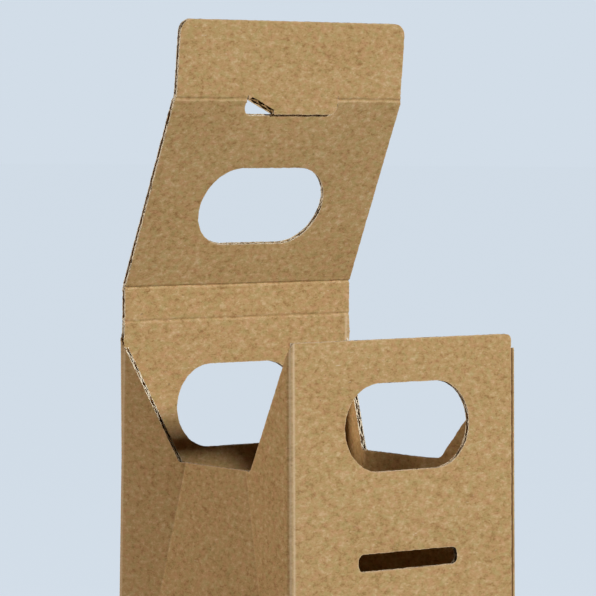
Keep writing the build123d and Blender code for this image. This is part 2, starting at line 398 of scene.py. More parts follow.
def cut_flat(loops, lines):
    """Flat points and triangles inside the loops, with edges along the lines."""
    points, edges = [], []
    for loop in loops:
        first = len(points)
        points += [tuple(point) for point in loop]
        count = len(loop)
        edges += [(first + index, first + (index + 1) % count) for index in range(count)]
    for line in lines:
        first = len(points)
        points += [tuple(point) for point in line]
        edges += [(first + index, first + index + 1) for index in range(len(line) - 1)]
    vectors = [Vector(point) / MM for point in points]
    found = delaunay_2d_cdt(vectors, edges, [], 0, 1e-4, False)
    flat = np.array([tuple(point) for point in found[0]], float) * MM
    triangles = np.array(found[2], int)
    kept = inside(flat[triangles].mean(axis=1), loops)
    triangles = triangles[kept]
    used, renumbered = np.unique(triangles, return_inverse=True)
    return flat[used], renumbered.reshape(-1, 3)


def rim_of(triangles):
    """Directed edges that only one triangle has."""
    edges = np.concatenate([triangles[:, [0, 1]], triangles[:, [1, 2]], triangles[:, [2, 0]]])
    keys = np.sort(edges, axis=1)
    _, index, counts = np.unique(keys, axis=0, return_index=True, return_counts=True)
    return edges[index[counts == 1]]


def inset(loop, depth, hole):
    """The outline moved into the paper by a depth."""
    forward = np.roll(loop, -1, axis=0) - np.roll(loop, 1, axis=0)
    forward /= np.linalg.norm(forward, axis=1)[:, None] + 1e-12
    into = np.stack([-forward[:, 1], forward[:, 0]], axis=1)
    moved = loop + into * (-depth if hole else depth)
    return np.concatenate([moved, moved[:1]])


class Sheet:
    """A flat pattern that is cut once for each layer and then folded by its place function.

    Loops bound the paper, holes are cut out of it, and the kept levels stay unfrayed because the
    next piece joins there. The wear mask gives the pale rubbing and the painted highlights at flat
    points.
    """

    def __init__(self, name, loops, holes, kept, lines, place, wear_and_highlight):
        self.name = name
        self.loops = loops
        self.holes = holes
        self.kept = kept
        self.lines = lines
        self.place = place
        self.wear_and_highlight = wear_and_highlight
        self.seam = None  # place along the sheet where the darker band beside the seam begins
        self.tear = None  # left, right, low and high of the stretch where the layers part
        self.rings = []
        for depth in RING_DEPTHS:
            self.rings += [inset(loop, depth, False) for loop in loops]
            self.rings += [inset(loop, depth, True) for loop in holes]

    def torn(self, loop):
        """Share by which the layers peel apart at points of an outline."""
        if self.tear is None:
            return 0.0
        left, right, low, high = self.tear
        reach = smooth((loop[:, 0] - left) / MM) * smooth((right - loop[:, 0]) / MM)
        return reach * ((loop[:, 1] < high) & (loop[:, 1] > low))

    def seam_band(self, across, up):
        """Darker band on the paper beside the glued seam, on the sheet that has one."""
        if self.seam is None:
            return np.zeros(len(across))
        return smooth((across - self.seam) / SEAM_BAND_FADE)

    def rim_wear(self, flat):
        """Pale torn rim of a liner beside its cut edges."""
        return RIM_PALE * np.exp(-(self.edge_distance(flat) / RIM_WIDTH) ** 2)

    def cut_edges(self, depth, grain, upright, peel, seed):
        """Outlines of one layer, each frayed in its own way and peeled back where torn."""
        edges = [
            frayed(
                loop, depth, grain, self.kept, False, seed + 10 * index, upright,
                peel * self.torn(loop),
            )
            for index, loop in enumerate(self.loops)
        ]
        edges += [
            frayed(loop, depth, grain, [], True, seed + 500 + 10 * index, upright)
            for index, loop in enumerate(self.holes)
        ]
        return edges

    def edge_distance(self, flat):
        """How far each flat point is from the nearest cut edge."""
        points = np.concatenate(self.loops + self.holes)
        for level in self.kept:
            points = points[np.abs(points[:, 1] - level) > 1e-6]
        tree = KDTree(len(points))
        for index, point in enumerate(points):
            tree.insert((*point, 0), index)
        tree.balance()
        return np.array([tree.find((*point, 0))[2] for point in flat])

    def fold(self, board, flat, depth):
        """Folded places of flat points at a depth under the outer face, pressed in at cuts."""
        near = np.exp(-(self.edge_distance(flat) / CRUSH_WIDTH) ** 2)
        pressed = depth + board.crush * near * (1 - 2 * depth / board.thickness)
        return self.place(flat[:, 0], flat[:, 1], pressed)


def new_mesh(name, points, faces):
    """A mesh from points and faces."""
    mesh = bpy.data.meshes.new(name)
    mesh.from_pydata([tuple(point) for point in points], [], [tuple(face) for face in faces])
    mesh.update()
    return mesh


def finished(name, meshes, materials, smooth_angle=35):
    """Joins layers into one object whose faces point outwards."""
    work = bmesh.new()
    for mesh in meshes:
        work.from_mesh(mesh)
    bmesh.ops.recalc_face_normals(work, faces=work.faces)
    joined = bpy.data.meshes.new(name)
    work.to_mesh(joined)
    work.free()
    for material in materials:
        joined.materials.append(material)
    joined.shade_smooth()
    joined.set_sharp_from_angle(angle=math.radians(smooth_angle))
    piece = bpy.data.objects.new(name, joined)
    bpy.context.scene.collection.objects.link(piece)
    return piece


def set_attribute(mesh, name, values):
    """Stores one number for each point of the mesh."""
    attribute = mesh.attributes.new(name, "FLOAT", "POINT")
    attribute.data.foreach_set("value", np.asarray(values, np.float32))


def liner_mesh(sheet, board, low, high, seed):
    """One face paper of the sheet, between two depths under the outer face."""
    peel = INNER_PEEL if low > 0 else 0.0
    loops = sheet.cut_edges(board.liner_ragged, LINER_GRAIN, LINER_UPRIGHT, peel, seed)
    flat, triangles = cut_flat(loops, sheet.lines + sheet.rings)
    top = sheet.fold(board, flat, np.full(len(flat), low))
    under = sheet.fold(board, flat, np.full(len(flat), high))
    count = len(flat)
    rim = rim_of(triangles)
    walls = np.stack([rim[:, 1], rim[:, 0], rim[:, 0] + count, rim[:, 1] + count], axis=1)
    faces = [tuple(face) for face in triangles]
    faces += [tuple(face) for face in triangles[:, ::-1] + count]
    faces += [tuple(face) for face in walls]
    mesh = new_mesh(sheet.name, np.concatenate([top, under]), faces)
    # wear mask: real rubbing and pale torn rims, plus painted highlights on the folds and crease
    # lips
    wear_and_highlight = np.maximum(sheet.wear_and_highlight(flat[:, 0], flat[:, 1]), sheet.rim_wear(flat))
    set_attribute(mesh, "wear_and_highlight", np.concatenate([wear_and_highlight, wear_and_highlight]))
    seam_band = sheet.seam_band(flat[:, 0], flat[:, 1])
    set_attribute(mesh, "seam_band", np.concatenate([seam_band, seam_band]))
    slots = np.zeros(len(faces), int)
    slots[2 * len(triangles):] = 1
    mesh.polygons.foreach_set("material_index", slots)
    return mesh


# ---------------------------------------------------------------- fluted medium

def flute_tree():
    """Geometry Nodes that press a flat sheet into flutes and give the paper its thickness."""
    tree = bpy.data.node_groups.new("Flutes", "GeometryNodeTree")
    face = tree.interface
    face.new_socket("Geometry", in_out="INPUT", socket_type="NodeSocketGeometry")
    for label in ("Pitch", "Height", "Paper", "Phase", "Depth"):
        face.new_socket(label, in_out="INPUT", socket_type="NodeSocketFloat")
    face.new_socket("Material", in_out="INPUT", socket_type="NodeSocketMaterial")
    face.new_socket("Cut Material", in_out="INPUT", socket_type="NodeSocketMaterial")
    face.new_socket("Geometry", in_out="OUTPUT", socket_type="NodeSocketGeometry")
    given = tree.nodes.new("NodeGroupInput")
    result = tree.nodes.new("NodeGroupOutput")

    def add(kind, values, **settings):
        node = tree.nodes.new(kind)
        for key, value in settings.items():
            setattr(node, key, value)
        for key, value in values.items():
            if isinstance(value, bpy.types.NodeSocket):
                tree.links.new(value, node.inputs[key])
            else:
                node.inputs[key].default_value = value
        return node

    def maths(operation, first, second=0.0):
        node = add("ShaderNodeMath", {0: first, 1: second}, operation=operation)
        return node.outputs[0]

    position = add("GeometryNodeInputPosition", {}).outputs[0]
    across = add("ShaderNodeSeparateXYZ", {0: position}).outputs["X"]
    turns = maths("DIVIDE", maths("ADD", across, given.outputs["Phase"]), given.outputs["Pitch"])
    wave = maths("SINE", maths("MULTIPLY", turns, 2 * math.pi))
    swing = maths("DIVIDE", given.outputs["Height"], 2.0)
    height = maths("ADD", maths("MULTIPLY", wave, swing), given.outputs["Depth"])
    lift = add("ShaderNodeCombineXYZ", {"Z": height}).outputs[0]
    waved = add(
        "GeometryNodeSetPosition", {"Geometry": given.outputs["Geometry"], "Offset": lift}
    ).outputs[0]
    upward = add("ShaderNodeCombineXYZ", {"Z": given.outputs["Paper"]}).outputs[0]
    painted = add(
        "GeometryNodeSetMaterial", {"Geometry": waved, "Material": given.outputs["Material"]}
    ).outputs[0]
    raised = add(
        "GeometryNodeExtrudeMesh", {"Mesh": painted, "Offset": upward, "Individual": False}
    )
    edged = add(
        "GeometryNodeSetMaterial",
        {"Geometry": raised.outputs["Mesh"], "Selection": raised.outputs["Side"],
         "Material": given.outputs["Cut Material"]},
    ).outputs[0]
    under = add("GeometryNodeFlipFaces", {"Mesh": painted}).outputs[0]
    joined = tree.nodes.new("GeometryNodeJoinGeometry")
    tree.links.new(edged, joined.inputs[0])
    tree.links.new(under, joined.inputs[0])
    welded = add(
        "GeometryNodeMergeByDistance", {"Geometry": joined.outputs[0], "Distance": 0.001 * MM}
    ).outputs[0]
    real = add("GeometryNodeRealizeInstances", {"Geometry": welded}).outputs[0]
    tree.links.new(real, result.inputs[0])
    return tree


def fluted_mesh(sheet, board, rows, paper, cut, seed):
    """The medium of the sheet: flat pattern, pressed into flutes by nodes, then folded."""
    loops = sheet.cut_edges(
        board.medium_ragged, MEDIUM_GRAIN, MEDIUM_UPRIGHT, MEDIUM_PEEL, seed
    )
    everything = np.concatenate(loops)
    low, high = everything.min(axis=0), everything.max(axis=0)
    step = board.pitch / 8
    ribs = np.arange(math.ceil(low[0] / step), math.floor(high[0] / step) + 1) * step
    lines = [np.array([(rib, low[1] - MM), (rib, high[1] + MM)]) for rib in ribs]
    lines += [np.array([(low[0] - MM, row), (high[0] + MM, row)]) for row in rows]
    lines += sheet.lines
    flat, triangles = cut_flat(loops, lines)
    blank = bpy.data.meshes.new("blank")
    blank.from_pydata([(x, y, 0.0) for x, y in flat], [], [tuple(face) for face in triangles])
    worker = bpy.data.objects.new("blank", blank)
    bpy.context.scene.collection.objects.link(worker)
    modifier = worker.modifiers.new("Flutes", "NODES")
    tree = bpy.data.node_groups.get("Flutes") or flute_tree()
    modifier.node_group = tree
    room = board.thickness - 2 * board.liner
    sizes = {
        "Pitch": board.pitch, "Height": room - board.medium, "Paper": board.medium,
        "Phase": 0.0, "Depth": (board.thickness - board.medium) / 2,
        "Material": paper, "Cut Material": cut,
    }
    for item in tree.interface.items_tree:
        if item.in_out == "INPUT" and item.name in sizes:
            modifier[item.identifier] = sizes[item.name]
    bpy.context.view_layer.update()
    evaluated = worker.evaluated_get(bpy.context.evaluated_depsgraph_get())
    mesh = bpy.data.meshes.new_from_object(evaluated)
    bpy.data.objects.remove(worker)
    points = np.zeros(len(mesh.vertices) * 3)
    mesh.vertices.foreach_get("co", points)
    points = points.reshape(-1, 3)
    folded = sheet.fold(board, points[:, :2], points[:, 2])
    mesh.vertices.foreach_set("co", folded.ravel())
    set_attribute(mesh, "wear_and_highlight", np.zeros(len(mesh.vertices)))
    return mesh


# ---------------------------------------------------------------- folded walls

def smooth(value):
    """Eases a share from 0 to 1."""
    value = np.clip(value, 0, 1)
    return value * value * (3 - 2 * value)


class Walls:
    """Front, left, back and right panel and the glue tab as one wrap of board.

    A flat point is (along, up): along the wrap from the front panel's raw edge, and up from the
    base. Below the base line a panel's strip is its bottom flap.
    """

    def __init__(self, board, box):
        self.board = board
        self.box = box
        self.half = Vector(((cad_box[1].x - cad_box[0].x) / 2, (cad_box[1].y - cad_box[0].y) / 2))
        self.height = ridge.z - box.crease_rise
        self.gusset_base = self.height - box.gusset_height
        self.notch_floor = self.height - box.notch_depth
        self.crease_run = self.half.y - box.gusset_flat / 2
        taken = [self.shortening(push) for push in (box.push_left, box.push_right)]
        self.slope = sum(taken) / 2 / (self.notch_floor - self.gusset_base)
        width, depth = 2 * self.half.x, 2 * self.half.y
        self.front_left = width - box.seam_setback
        self.back_left = self.front_left + depth
        self.back_right = self.back_left + width
        self.front_right = self.back_right + depth - board.thickness - box.glue_line
        self.tab_end = self.front_right + box.glue_tab

    def shortening(self, push):
        """How much nearer the corner comes to the crease when the crease is pushed in."""
        return self.crease_run - math.sqrt(self.crease_run ** 2 - push ** 2)

    def lean(self, level):
        """How far the front and back panels lean in at a height."""
        return self.slope * np.maximum(0, level - self.gusset_base)

    def section(self, level):
        """Corners of the wrap's outer face at each level: places along it, and their x and y."""
        box = self.box
        pushed = (level - self.gusset_base) / (self.notch_floor - self.gusset_base)
        pushed = np.clip(pushed, 0, 1)
        run = box.crease_start + pushed * (self.crease_run - box.crease_start)
        front = self.lean(level) - self.half.y
        back = -front
        behind = front + self.board.thickness + box.glue_line
        left = np.full_like(front, -self.half.x)
        right = -left
        left_crease = left + pushed * box.push_left
        right_crease = right - pushed * box.push_right
        one = np.ones_like(front)
        along = [
            0 * one, self.front_left * one, self.front_left + run, self.back_left - run,
            self.back_left * one, self.back_right * one, self.back_right + run,
            self.front_right - run, self.front_right * one, self.tab_end * one,
        ]
        corners = [
            (right - box.seam_setback, front), (left, front), (left_crease, front + run),
            (left_crease, back - run), (left, back), (right, back), (right_crease, back - run),
            (right_crease, behind + run), (right, behind), (right - box.glue_tab, behind),
        ]
        corners = np.stack([np.stack(corner, axis=1) for corner in corners], axis=1)
        return np.stack(along, axis=1), corners, pushed

    def creases(self, along, level):
        """Distance of each flat point from the nearest gusset crease, and how far it is scored."""
        stations, _, pushed = self.section(level)
        gap = np.min(np.abs(along[:, None] - stations[:, GUSSET_CREASES]), axis=1)
        return gap, smooth(pushed * SCORE_RISE)

    def folds(self, along):
        """Distance of each flat point past the nearest corner fold, negative before it."""
        lines = np.array([self.front_left, self.back_left, self.back_right, self.front_right])
        past = along[:, None] - lines
        return past[np.arange(len(along)), np.argmin(np.abs(past), axis=1)]

    def turn_under(self, along, up, depth):
        """Level and inward distance of a point, with the bottom flaps folded in."""
        radius = self.board.fold_radius
        side = (along > self.front_left) & (along < self.back_left)
        side |= (along > self.back_right) & (along < self.front_right)
        base = np.where(side, self.board.thickness, 0.0)
        above = up - base
        angle = np.clip((radius - above) / (2 * radius), 0, 1) * math.pi / 2
        level = base + radius - (radius - depth) * np.sin(angle)
        inward = radius - (radius - depth) * np.cos(angle)
        level = np.where(above >= radius, up, level)
        inward = np.where(above >= radius, depth, inward)
        return level, np.where(above < -radius, -above, inward)

    def place(self, along, up, depth):
        """Folded place of flat points that lie at a depth under the outer face."""
        gap, scored = self.creases(along, up)
        groove = self.box.gusset_groove * scored * np.exp(-(gap / GUSSET_GROOVE_WIDTH) ** 2)
        depth = depth + groove * (1 - depth / self.board.thickness)
        level, inward = self.turn_under(along, up, depth)
        stations, corners, pushed = self.section(level)
        runs = np.diff(corners, axis=1)
        lengths = np.linalg.norm(runs, axis=2)
        heading = runs / lengths[:, :, None]
        part = np.sum(along[:, None] >= stations[:, 1:-1], axis=1)
        rows = np.arange(len(along))
        share_along = along - stations[rows, part]
        share_along /= stations[rows, part + 1] - stations[rows, part]
        point = corners[rows, part] + runs[rows, part] * share_along[:, None]
        forward = heading[rows, part]
        fades = [self.height - self.box.notch_back - below for below in BACK_FADE]
        back_fold = np.interp(level, fades, [1, 0.02])
        for knot in range(1, 9):
            if knot in SHARP_FOLDS:
                reach = np.full_like(level, self.board.fold_radius)
            elif knot in BACK_FOLDS:
                reach = self.board.fold_radius * back_fold
            else:
                reach = GUSSET_BEND * np.clip(pushed * 8, 0.01, 1)
            progress = (along - stations[:, knot]) / reach
            bent = np.abs(progress) < 1
            first, second = heading[:, knot - 1], heading[:, knot]
            turn = np.arctan2(
                first[:, 0] * second[:, 1] - first[:, 1] * second[:, 0],
                np.sum(first * second, axis=1),
            )
            turn = np.where(np.abs(turn) < 1e-4, 1e-4, turn)
            radius = reach / np.tan(turn / 2)
            angle = turn * (progress + 1) / 2
            left = np.stack([-first[:, 1], first[:, 0]], axis=1)
            arc = corners[:, knot] - first * reach[:, None]
            arc = arc + first * (radius * np.sin(angle))[:, None]
            arc = arc + left * (radius * (1 - np.cos(angle)))[:, None]
            turned = first * np.cos(angle)[:, None] + left * np.sin(angle)[:, None]
            point = np.where(bent[:, None], arc, point)
            forward = np.where(bent[:, None], turned, forward)
        inside_way = np.stack([forward[:, 1], -forward[:, 0]], axis=1)
        point = point + inside_way * inward[:, None]
        return np.column_stack([point, level])

    def wear_and_highlight(self, along, up):
        """Pale rubbing along the corner folds and the gusset creases, with painted highlight in
        the streaks along the corner folds.
        """
        gap, scored = self.creases(along, up)
        fold = self.folds(along)
        rubbed_and_highlit = sum(
            strength * np.exp(-((fold - place) / width) ** 2)
            for strength, place, width in FOLD_WEAR_AND_HIGHLIGHT
        )
        line = GUSSET_PALE * scored * np.exp(-(gap / GUSSET_PALE_WIDTH) ** 2)
        return np.clip(np.maximum(rubbed_and_highlit, line), 0, 1)

    def side_point(self, y, level, right):
        """Flat place of a point on a side panel, given its y on the folded box."""
        front = self.lean(level) - self.half.y
        if right:
            behind = front + self.board.thickness + self.box.glue_line
            reach = self.front_right - self.back_right
            return self.front_right - (y - behind) / (-front - behind) * reach, level
        reach = self.back_left - self.front_left
        return self.front_left + (y - front) / (-2 * front) * reach, level


def wall_outline(walls, board, box, lid):
    """Outer edge of the flat wrap with its four bottom flaps."""
    top = walls.height
    edge = walls.half.y - walls.lean(top)
    floor = box.notch_floor / 2
    radius = board.fold_radius
    corner_end = board.thickness + radius + 0.1 * MM
    flap_end = -(walls.half.y - box.bottom_seam / 2)
    side_end = flap_end + board.thickness
    slope = (walls.notch_floor - (top - box.notch_front)) / (edge - floor)
    fold_end = top - box.notch_front + slope * radius
    drop = top - box.tab_drop
    meets = edge - (box.tab_drop - box.notch_front) / -slope
    lid_low = ridge.z - board.crease_reach
    notch_back = top - box.notch_back
    corners = [
        (0, corner_end, 0),
        (FLAP_SETBACK, corner_end, 0),
        (FLAP_SETBACK, flap_end, 0),
    ]
    for fold, before, after in (
        (walls.front_left, flap_end, side_end),
        (walls.back_left, side_end, flap_end),
        (walls.back_right, flap_end, side_end),
    ):
        corners += [
            (fold - FLAP_GAP, before, 0),
            (fold - FLAP_GAP, corner_end, FLAP_CORNER),
            (fold + FLAP_GAP, corner_end, FLAP_CORNER),
            (fold + FLAP_GAP, after, 0),
        ]
    corners += [
        (walls.front_right - FLAP_GAP, side_end, 0),
        (walls.front_right - FLAP_GAP, corner_end, 0),
        (walls.tab_end, corner_end, 0),
        (walls.tab_end, drop, GLUE_TAB_CORNER),
        (*walls.side_point(-meets, drop, True), 0),
        (*walls.side_point(-floor, walls.notch_floor, True), box.notch_radius),
        (*walls.side_point(floor, walls.notch_floor, True), box.notch_radius),
        (walls.back_right - 0.5 * lid.lid_inset, notch_back, 0),
        (walls.back_right - lid.lid_inset, lid_low, 0),
        (walls.back_left + lid.lid_inset, lid_low, 0),
        (walls.back_left + 0.5 * lid.lid_inset, notch_back, 0),
        (*walls.side_point(floor, walls.notch_floor, False), box.notch_radius),
        (*walls.side_point(-floor, walls.notch_floor, False), box.notch_radius),
        (walls.front_left + radius, fold_end, 0),
        (walls.front_left - radius, top, FOLD_CORNER),
        (0, top, box.front_radius),
    ]
    places, radii = [corner[:2] for corner in corners], [corner[2] for corner in corners]
    return outline(places, radii, board.step)


def wall_lines(walls, board):
    """Fold and crease lines that need points of their own."""
    low, high = LINE_LOW, ridge.z + LINE_ROOM
    radius = board.fold_radius
    lines = []
    for fold in (walls.front_left, walls.back_left, walls.back_right, walls.front_right):
        for offset in np.linspace(-1, 1, 9) * radius:
            lines.append(np.array([(fold + offset, low), (fold + offset, high)]))
        for offset in (-FLAP_GAP, FLAP_GAP):
            lines.append(np.array([(fold + offset, low), (fold + offset, high)]))
    levels = np.array([walls.gusset_base + 0.5 * MM, walls.notch_floor, high])
    stations, _, _ = walls.section(levels)
    for knot in GUSSET_CREASES:
        for offset in np.array(GUSSET_ROWS) * MM:
            lines.append(np.column_stack([stations[:, knot] + offset, levels]))
    for offset in (SEAM_BAND_START, SEAM_BAND_END):
        seam = walls.front_right + offset
        lines.append(np.array([(seam, low), (seam, high)]))
    rows = [walls.gusset_base, walls.notch_floor]
    for base in (0, board.thickness):
        rows += [base + radius * share_up for share_up in np.linspace(-1, 1, 7)]
    lines += [np.array([(-LINE_ROOM, row), (walls.tab_end + LINE_ROOM, row)]) for row in rows]
    return lines


def wall_sheet(board, box, holes, lid):
    """The wrap with its hand holes and lock slot."""
    walls = Walls(board, box)
    step = board.step
    front_middle = walls.half.x - box.seam_setback
    back_middle = walls.back_left + walls.half.x
    cut_outs = [
        hand_hole((front_middle, middle("front_hand_hole").z), holes, step),
        hand_hole((back_middle, middle("back_hand_hole").z), holes, step),
        rounded_slot(
            (front_middle, middle("lock_slot").z), holes.slot_length, holes.slot_height,
            holes.slot_radius, step,
        ),
    ]
    sheet = Sheet(
        "box", [wall_outline(walls, board, box, lid)], cut_outs, [ridge.z - board.crease_reach],
        wall_lines(walls, board), walls.place, walls.wear_and_highlight,
    )
    sheet.seam = walls.front_right + SEAM_BAND_START
    return sheet, walls


# ---------------------------------------------------------------- flat lid panels and creases

class Panel:
    """A flat panel that stands on a crease and leans forward."""

    def __init__(self, board, foot, lean):
        self.board = board
        self.foot = foot
        self.lean = lean

    def place(self, across, up, depth):
        """Place of flat points at a depth under the panel's outer, rear face."""
        rise, set_back = math.cos(self.lean), math.sin(self.lean)
        out = self.board.thickness / 2 - depth
        y = self.foot.y - up * set_back + out * rise
        z = self.foot.z + up * rise + out * set_back
        return np.column_stack([across, y, z])

    def wear_and_highlight(self, across, up):
        """No rubbing and no painted highlight on the flat of a panel."""
        return np.zeros(len(across))


class Crease:
    """The bent board along a lid crease, from the panel below it to the one above."""

    def __init__(self, board, axis, lean_below, lean_above, seed):
        self.board = board
        self.axis = axis
        self.leans = (lean_below, lean_above)
        draw = np.random.default_rng(seed)
        self.knots = np.arange(-48, 49, GROOVE_KNOT) * MM
        self.wander = draw.uniform(-GROOVE_WANDER, GROOVE_WANDER, len(self.knots)) * MM
        self.bite = draw.uniform(*GROOVE_BITE, len(self.knots))

    def groove(self, across, up, width):
        """Share of the full groove depth at flat points."""
        line = np.interp(across, self.knots, self.wander)
        bite = np.interp(across, self.knots, self.bite)
        inner = 1 - smooth((np.abs(up) / self.board.crease_reach - 0.6) / 0.4)
        return bite * inner * np.exp(-((up - line) / width) ** 2)

    def place(self, across, up, depth):
        """Place of flat points; up is measured from the crease."""
        board = self.board
        reach = board.crease_reach
        groove = board.crease_depth * self.groove(across, up, GROOVE_WIDTH)
        through = depth / board.thickness
        depth = depth + 0.5 * groove * (1 - through) - groove * through
        turned = smooth((up + reach) / (2 * reach))
        lean = self.leans[0] + (self.leans[1] - self.leans[0]) * turned
        out = board.thickness / 2 - depth
        y = self.axis.y - up * np.sin(lean) + out * np.cos(lean)
        z = self.axis.z + up * np.cos(lean) + out * np.sin(lean)
        return np.column_stack([across, y, z])

    def wear_and_highlight(self, across, up):
        """Painted highlight on the lower lip of the groove, where its flank faces up into the
        light.
        """
        return np.clip(0.5 * self.groove(across, up + GROOVE_LIP, GROOVE_LIP_WIDTH), 0, 1)


def strip_sheet(board, lid):
    """Narrow panel between the first and the second crease."""
    reach = board.crease_reach
    x = half_width - lid.lid_inset
    tall = lid_crease.z - ridge.z
    corners = [(-x, reach), (x, reach), (x, tall - reach), (-x, tall - reach)]
    loop = outline(corners, [0] * 4, board.step)
    panel = Panel(board, ridge, 0.0)
    return Sheet("strip", [loop], [], [reach, tall - reach], [], panel.place, panel.wear_and_highlight)


def lid_sheet(board, lid, holes):
    """Panel with the hand hole, open at its top where the lock tab is cut out."""
    reach = board.crease_reach
    x = half_width - lid.lid_inset
    tall = lid_rise.length
    high = tall - reach
    cut_half = lid.tab_length / 2 + lid.cut_width
    cut_low = tall - math.hypot(lid.tab_reach, board.thickness / 2) - lid.cut_width
    corners = [
        (-x, reach), (x, reach), (x, high), (cut_half, high), (cut_half, cut_low),
        (lid.tab_shift - cut_half, cut_low), (lid.tab_shift - cut_half, high), (-x, high),
    ]
    radii = [0, 0, 0, 0, lid.tab_radius, lid.tab_radius, 0, 0]
    loop = outline(corners, radii, board.step)
    hole_up = (middle("lid_hand_hole").z - lid_crease.z) / math.cos(lid_lean)
    hole = hand_hole((0, hole_up), holes, board.step)
    panel = Panel(board, lid_crease, lid_lean)
    return Sheet("lid", [loop], [hole], [reach, high], [], panel.place, panel.wear_and_highlight)


def flap_sheet(board, lid):
    """End flap with rounded free corners and the lock tab below its crease."""
    reach = board.crease_reach
    x = half_width - lid.flap_inset
    tab = lid.tab_length / 2
    start = lid.tab_shift - tab
    corners = [
        (-x, reach), (start, reach), (start, TAB_START),
        (lid.tab_shift + lid.tab_slant - tab, -lid.tab_reach),
        (tab, -lid.tab_reach), (tab, reach), (x, reach), (x, lid.flap_length),
        (-x, lid.flap_length),
    ]
    radii = [0, 0, *TAB_SLANT_RADII, lid.tab_radius, 0, 0, lid.flap_radius, lid.flap_radius]
    loop = outline(corners, radii, board.step)
    panel = Panel(board, flap_crease, lid.flap_lean)
    sheet = Sheet("flap", [loop], [], [reach], [], panel.place, panel.wear_and_highlight)
    sheet.tear = (start, start + lid.tab_slant + 0.5 * MM, -lid.tab_reach - MM, TAB_START / 2)
    return sheet


def crease_sheet(name, board, crease, spans):
    """Board along one lid crease; spans are its x ranges at the lower and the upper edge."""
    reach = board.crease_reach
    loops = []
    for low_left, low_right, high_left, high_right in spans:
        corners = [
            (low_left, -reach), (low_right, -reach), (high_right, reach), (high_left, reach)
        ]
        loops.append(outline(corners, [0] * 4, board.step))
    left = min(span[0] for span in spans) - MM
    right = max(span[1] for span in spans) + MM
    rows = np.array(CREASE_ROWS) * MM
    columns = np.arange(left, right, CREASE_COLUMN)
    lines = [np.array([(left, row), (right, row)]) for row in rows]
    lines += [np.array([(column, -2 * reach), (column, 2 * reach)]) for column in columns]
    return Sheet(name, loops, [], [-reach, reach], lines, crease.place, crease.wear_and_highlight)


# ---------------------------------------------------------------- finishes

class Value:
    """A number inside a material; arithmetic on it adds Math nodes."""

    def __init__(self, paint, socket):
        self.paint = paint
        self.socket = socket

    def maths(self, operation, first, second):
        return self.paint.node(
            "ShaderNodeMath", {"operation": operation}, {0: first, 1: second}
        )

    def __add__(self, other):
        return self.maths("ADD", self, other)

    def __radd__(self, other):
        return self.maths("ADD", other, self)

    def __sub__(self, other):
        return self.maths("SUBTRACT", self, other)

    def __rsub__(self, other):
        return self.maths("SUBTRACT", other, self)

    def __mul__(self, other):
        return self.maths("MULTIPLY", self, other)

    def __rmul__(self, other):
        return self.maths("MULTIPLY", other, self)


class Paint:
    """A material under construction."""

    def __init__(self, name):
        self.material = bpy.data.materials.new(name)
        self.material.use_nodes = True
        self.tree = self.material.node_tree
        self.shader = self.tree.nodes["Principled BSDF"]

    def node(self, kind, settings, values, output=0):
        """One node: its settings are set first, then its sockets' values or links."""
        made = self.tree.nodes.new(kind)
        for key, value in settings.items():
            setattr(made, key, value)
        for key, value in values.items():
            self.feed(made.inputs[key], value)
        return Value(self, made.outputs[output])

    def feed(self, socket, value):
        """Links or sets one socket."""
        if isinstance(value, Value):
            self.tree.links.new(value.socket, socket)
        else:
            socket.default_value = value

    def stretched(self, across, up, place=(0, 0, 0)):
        """Object coordinates scaled to so many pattern cells a millimetre, across and up."""
        where = self.node("ShaderNodeTexCoord", {}, {}, "Object")
        scale = (across / MM, across / MM, up / MM)
        return self.node(
            "ShaderNodeMapping", {}, {"Vector": where, "Scale": scale, "Location": place}
        )

    def noise(self, where, detail=2.0, rough=0.5, bend=0.0):
        """Soft noise from 0 to 1 at one cell a unit."""
        values = {
            "Vector": where, "Scale": 1.0, "Detail": detail, "Roughness": rough,
            "Distortion": bend,
        }
        return self.node("ShaderNodeTexNoise", {}, values, "Fac")

    def between(self, value, low, high):
        """Share of the way from low to high, eased and kept from 0 to 1."""
        settings = {"interpolation_type": "SMOOTHSTEP"}
        values = {"Value": value, "From Min": low, "From Max": high}
        return self.node("ShaderNodeMapRange", settings, values)

    def mix(self, first, second, amount):
        """Blend of two colours."""
        values = {0: amount, 6: first, 7: second}
        return self.node("ShaderNodeMix", {"data_type": "RGBA"}, values, 2)

    def surface(self, **values):
        """Feeds the shader's own sockets; an underscore in a name stands for a space."""
        for label, value in values.items():
            self.feed(self.shader.inputs[label.replace("_", " ")], value)

    def bump(self, height, strength, distance):
        """Surface relief from a height pattern."""
        values = {"Height": height, "Strength": strength, "Distance": distance}
        return self.node("ShaderNodeBump", {}, values)


def opaque(tint):
    """A colour with full cover."""
    return (*tint, 1.0)


